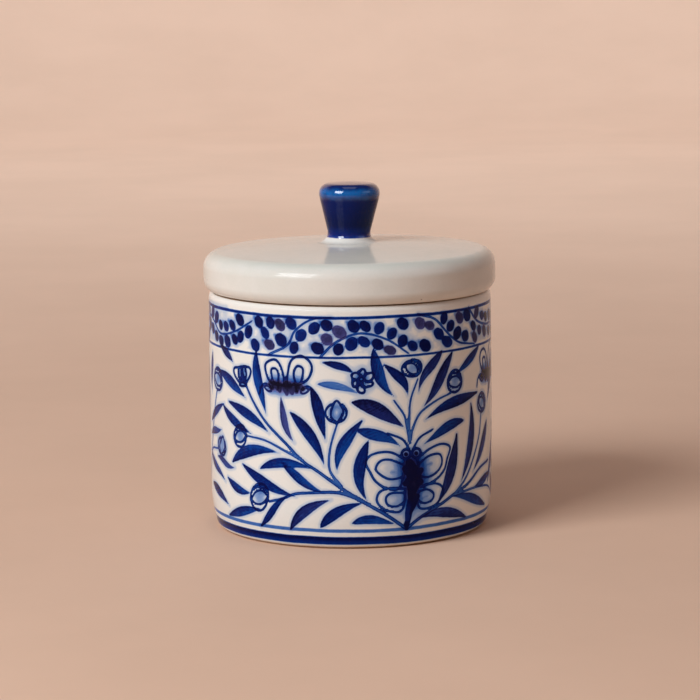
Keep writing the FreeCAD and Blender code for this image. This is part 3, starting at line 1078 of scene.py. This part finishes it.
def glaze_surface(n, roughness=0.1, shine=0.1, relief=0.05):
    """Roughness and the faint unevenness that a poured glaze has."""
    wave = n.add(n.times(n.noise(6.0, 1.0), 0.75), n.times(n.noise(0.9, 2.0), 0.25))
    n.bump(wave, relief)
    n.shader.inputs["IOR"].default_value = 1.5
    n.shader.inputs["Specular IOR Level"].default_value = shine
    return n.add(roughness, n.times(n.patches(9.0, 0.4, 0.8, 3.0), 0.06))


def clay_colour(n):
    grain = n.mix(n.patches(0.5, 0.35, 0.7, 4.0, 0.7), CLAY, (0.52, 0.36, 0.24))
    return n.stain(grain, n.patches(5.0, 0.45, 0.75), 0.5, (0.60, 0.46, 0.34))


def line_paint(n, wobble, mottle):
    """Colour that the thin lines carry. It pools along their edges."""
    half = n.add(n.field("line_half"), wobble)
    out = n.less(n.math("ABSOLUTE", n.field("line_side")), half)
    ink = n.times(n.fall(out, -0.12, 0.2), n.fall(n.field("line_edge"), 0.22, 0.45))
    load = n.times(n.field("line_load"), n.blend(n.rise(out, -0.34, -0.06), 0.74, 1.16))
    return n.times(ink, n.times(load, n.blend(mottle, 0.82, 1.16)))


def leaf_paint(n, edge, streak):
    """Colour that the broad marks carry, in streaks. It pools along their edges too."""
    pooled = n.times(n.rise(edge, -0.6, -0.16), 0.14)
    shade = n.add(n.blend(streak, 0.76, 1.14), pooled)
    return n.times(n.times(n.fall(edge, -0.2, 0.2), n.field("leaf_load")), shade)


def band_paint(n, wobble, mottle, streak):
    """Colour of the lines left by the wheel as the jar was turned under the brush."""
    height = n.add(n.add(n.z, n.swing(16.0, 0.22, 1.0)), n.times(wobble, 0.6))
    bands = None
    for z, reach, dark in LINES_ROUND:
        off = n.math("ABSOLUTE", n.less(height, z))
        band = n.fall(off, reach - 0.16, reach + 0.26)
        band = n.times(band, n.blend(mottle, dark - 0.18, dark + 0.1))
        bands = n.math("MAXIMUM", bands, band) if bands else band
    thick = n.times(n.rise(height, 1.25, 1.7), n.fall(height, 3.75, 4.25))
    thick = n.times(thick, n.add(0.8, n.times(n.rise(height, 1.6, 3.4), 0.18)))
    return n.math("MAXIMUM", bands, n.times(thick, n.blend(streak, 0.92, 1.06)))


def wash_paint(n, streak):
    """Colour of the watery patches, and of the thin wash that lies all over the border."""
    border = n.times(n.rise(n.z, 60.0, 61.5), n.fall(n.z, 70.5, 71.8))
    wash = n.times(n.field("wash"), n.blend(streak, 0.75, 1.2))
    return n.add(wash, n.times(border, n.times(n.patches(5.0, 0.3, 0.75, 3.0), 0.19)))


def make_painted_glaze():
    n = Nodes("painted_glaze")
    wobble = n.swing(1.4, 0.09)
    streak = n.noise(1.6, 3.0, 0.6)
    mottle = n.noise(3.2, 2.0)
    edge = n.add(n.field("leaf_edge"), wobble)
    near = n.math("MINIMUM", edge, n.field("line_edge"))
    flush = n.times(n.fall(near, 0.0, 1.5), 0.12)
    clear = n.less(1.0, leaf_paint(n, edge, streak), True)
    for share in (line_paint(n, wobble, mottle), band_paint(n, wobble, mottle, streak),
                  wash_paint(n, streak), flush):
        clear = n.times(clear, n.less(1.0, share, True))
    outside = n.rise(n.radius, MOUTH + 0.3, MOUTH + 0.7)
    total = n.times(outside, n.less(1.0, clear, True))

    violet = n.times(n.field("tint"), n.rise(total, 0.25, 0.6))
    scorch = n.times(n.patches(4.5, 0.62, 0.8, 3.0), n.rise(total, 0.55, 0.8))
    blue = n.stain(n.ramp(total, PAINT), violet, 0.85, n.ramp(total, SCORCHED))
    blue = n.stain(blue, scorch, 0.3, (0.02, 0.018, 0.08))
    colour = n.mix(n.rise(total, 0.0, 0.07), white_glaze(n), blue)

    # the seat, the lip and the edge of the underside are wiped free of glaze
    drift = n.times(wobble, 1.5)
    seat = n.rise(n.add(n.z, n.times(drift, 0.3)), SEAT_Z - 0.14, SEAT_Z - 0.04)
    lip = n.fall(n.add(n.z, drift), LIP_Z + 0.05, LIP_Z + 0.35)
    lip = n.times(lip, n.rise(n.radius, 41.0, 41.4))
    bare = n.math("MAXIMUM", n.times(seat, outside), lip)
    colour = n.mix(bare, colour, clay_colour(n))
    return n.finish(colour, n.blend(bare, glaze_surface(n, 0.09, 0.07), 0.85))


def make_white_glaze():
    n = Nodes("white_glaze")
    colour = n.mix(1.0, white_glaze(n), (0.92, 0.92, 0.905), "MULTIPLY")
    wobble = n.swing(7.0, 1.0)
    # the glaze gathers, grey-green, where the top turns over into the edge
    high = n.add(n.z, n.times(wobble, 0.5))
    pool = n.times(n.rise(high, 85.6, 87.2), n.fall(high, 87.3, 88.2))
    colour = n.stain(colour, pool, 0.35, (0.56, 0.60, 0.53))
    top = n.rise(n.z, 87.4, 88.6)
    colour = n.stain(colour, n.patches(11.0, 0.42, 0.68, 4.0, 0.6), 0.35, (0.64, 0.65, 0.60))
    ring = n.math("SINE", n.times(n.add(n.radius, n.swing(12.0, 0.8)), 2.1))
    colour = n.mix(n.times(n.rise(ring, 0.2, 1.0), n.times(top, 0.10)), colour, (0.60, 0.61, 0.57))
    # painted shade: the top of the lid is made a third greyer than its side, for the light it gets and
    # the backdrop it mirrors
    colour = n.stain(colour, top, 0.30, (0.68, 0.67, 0.61))
    # it turns brownish towards the lower edge, and bare clay shows at the very bottom
    low = n.add(n.z, n.times(wobble, 0.18))
    colour = n.stain(colour, n.fall(low, 75.25, 76.3), 0.5, (0.66, 0.50, 0.36))
    bare = n.times(n.fall(low, 75.05, 75.4), n.rise(n.radius, 40.8, 40.9))
    colour = n.mix(bare, colour, clay_colour(n))
    return n.finish(colour, n.blend(bare, glaze_surface(n, 0.13, 0.2), 0.8))


def make_collar_glaze():
    n = Nodes("collar_glaze")
    foot = n.fall(n.z, COLLAR_BOTTOM_Z + 0.05, COLLAR_BOTTOM_Z + 0.7)
    colour = n.mix(foot, white_glaze(n), (0.70, 0.69, 0.65))
    return n.finish(colour, glaze_surface(n, 0.09))


def make_cobalt_glaze():
    n = Nodes("cobalt_glaze")
    wobble = n.swing(3.0, 0.7)
    up = n.math("DIVIDE", n.less(n.add(n.z, wobble), KNOB_BOTTOM_Z), KNOB_TOP_Z - KNOB_BOTTOM_Z)
    # painted highlight: the ramp makes the blue lighter at the foot and over the shoulder, where the
    # light catches the knob
    colour = n.ramp(up, [
        (0.0, (0.001, 0.05, 0.33)),
        (0.10, (0.0006, 0.012, 0.13)),
        (0.25, (0.0003, 0.004, 0.055)),
        (0.68, (0.0003, 0.006, 0.085)),
        (0.84, (0.001, 0.12, 0.42)),
        (0.94, (0.0006, 0.012, 0.12)),
    ])
    cloud = n.patches(2.2, 0.4, 0.75, 4.0, 0.65, (1.0, 1.0, 0.5))
    colour = n.stain(colour, cloud, 0.3, (0.001, 0.010, 0.09))
    colour = n.stain(colour, n.patches(0.45, 0.72, 0.8, 2.0), 0.4, (0.03, 0.09, 0.30))
    low = n.add(n.z, n.times(wobble, 0.2))
    blue = n.rise(low, KNOB_BOTTOM_Z + 0.2, KNOB_BOTTOM_Z + 0.5)
    colour = n.mix(blue, white_glaze(n), colour)
    # the glaze lies thick and bright over the shoulder and in the cove, and thin between them
    thick = n.add(n.rise(n.z, 103.0, 104.5), n.fall(n.z, 92.2, 93.4), True)
    n.link(n.times(thick, 0.9), n.shader.inputs["Coat Weight"])
    n.shader.inputs["Coat Roughness"].default_value = 0.05
    return n.finish(colour, glaze_surface(n, 0.07, 0.16, 0.012))


def make_bare_clay():
    n = Nodes("bare_clay")
    n.bump(n.noise(0.35, 4.0, 0.7), 0.03)
    return n.finish(clay_colour(n), n.add(0.78, n.times(n.noise(0.6), 0.15)))


# ---- studio ----
def make_stage():
    """Round floor that sweeps up into a backdrop."""
    radius, bend, height = 2600.0, 900.0, 2600.0
    rings = outline(
        [(r, 0.0) for r in (0.0, 120.0, 400.0, 900.0, radius - bend)],
        arc(radius - bend, bend, bend, -90, 0, 90), [(radius, height)],
    )
    stage = turned("backdrop", rings, 96)
    stage.data.flip_normals()
    n = Nodes("plain_backdrop")
    cloud = n.patches(170.0, 0.3, 0.7, 5.0, 0.6)
    colour = n.mix(cloud, (0.735, 0.505, 0.38), (0.775, 0.535, 0.405))
    stage.data.materials.append(n.finish(colour, 0.9))
    n.shader.inputs["Specular IOR Level"].default_value = 0.1


JAR_MIDDLE = Vector((0, 0, 0.06))


def round_jar(azimuth, elevation, distance):
    """A place this far from the jar's middle, azimuth degrees to the right of the camera."""
    a, e = math.radians(azimuth), math.radians(elevation)
    way = Vector((math.sin(a) * math.cos(e), -math.cos(a) * math.cos(e), math.sin(e)))
    return JAR_MIDDLE + way * distance


def area_light(name, place, aim, size, power, colour):
    """Soft rectangular light that faces aim. Places and sizes are in metres."""
    data = bpy.data.lights.new(name, "AREA")
    data.shape = "RECTANGLE"
    data.size, data.size_y = size
    data.energy = power
    data.color = colour
    light = bpy.data.objects.new(name, data)
    light.location = place
    light.rotation_euler = (aim - place).to_track_quat("-Z", "Y").to_euler()
    bpy.context.scene.collection.objects.link(light)


LIGHTS = [
    # (name, place, aim, size, power, colour)
    ("key", round_jar(-46, 32.5, 1.25), JAR_MIDDLE, (0.62, 0.54), 13.8, (0.945, 0.985, 1.0)),
    ("fill", round_jar(72, 25, 1.8), JAR_MIDDLE, (1.1, 0.6), 1.5, (0.72, 0.93, 1.16)),
    ("overhead", round_jar(0, 88, 2.0), JAR_MIDDLE, (1.0, 1.0), 2.6, (0.92, 0.96, 1.0)),
    # above and behind the jar, facing away from it, so only its bounce reaches the jar
    ("backdrop", Vector((0, 0.9, 1.7)), Vector((0, 2.6, 0.75)), (2.4, 0.8), 41.0, (0.75, 0.895, 1.0)),
]


CAMERA_PLACE = (-0.00005, -0.8744, 0.1864)
CAMERA_DOWN, CAMERA_ROLL = 8.53, -0.57  # degrees


def make_studio():
    make_stage()
    for light in LIGHTS:
        area_light(*light)
    world = bpy.data.worlds.new("studio")
    bpy.context.scene.world = world
    world.use_nodes = True
    world.node_tree.nodes["Background"].inputs["Color"].default_value = (0.92, 0.96, 1.0, 1)
    world.node_tree.nodes["Background"].inputs["Strength"].default_value = 0.10

    lens = bpy.data.cameras.new("camera")
    lens.sensor_width = 36.0
    lens.lens = 143.0
    lens.clip_start = 0.05
    camera = bpy.data.objects.new("camera", lens)
    camera.location = CAMERA_PLACE
    pitch = Euler((math.radians(90 - CAMERA_DOWN), 0, 0)).to_matrix()
    roll = Euler((0, 0, math.radians(CAMERA_ROLL))).to_matrix()
    camera.rotation_euler = (pitch @ roll).to_euler()
    bpy.context.scene.collection.objects.link(camera)
    bpy.context.scene.camera = camera

    view = bpy.context.scene.view_settings
    view.view_transform = "Standard"
    view.look = "None"


# ---- assembly ----
MATERIALS = {
    "painted_glaze": make_painted_glaze(),
    "white_glaze": make_white_glaze(),
    "collar_glaze": make_collar_glaze(),
    "cobalt_glaze": make_cobalt_glaze(),
    "bare_clay": make_bare_clay(),
}

PIECES = [
    # (maker, CAD node it stands for, body, record's slot, material)
    (make_jar, "jar_body", "jar", "painted_glaze", "painted_glaze"),
    (make_foot, "foot_ring", "jar", "bare_clay", "bare_clay"),
    (make_lid, "lid_cap", "lid", "white_glaze", "white_glaze"),
    (make_locating_ring, "locating_ring", "lid", "bare_clay", "bare_clay"),
    (make_collar, "knob_collar", "lid", "white_glaze", "collar_glaze"),
    (make_knob, "lid_knob", "lid", "cobalt_glaze", "cobalt_glaze"),
]

for make, node, body, slot, material in PIECES:
    piece = make()
    piece.data.materials.append(MATERIALS[material])
    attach(piece, body)
    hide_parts(node)

make_studio()
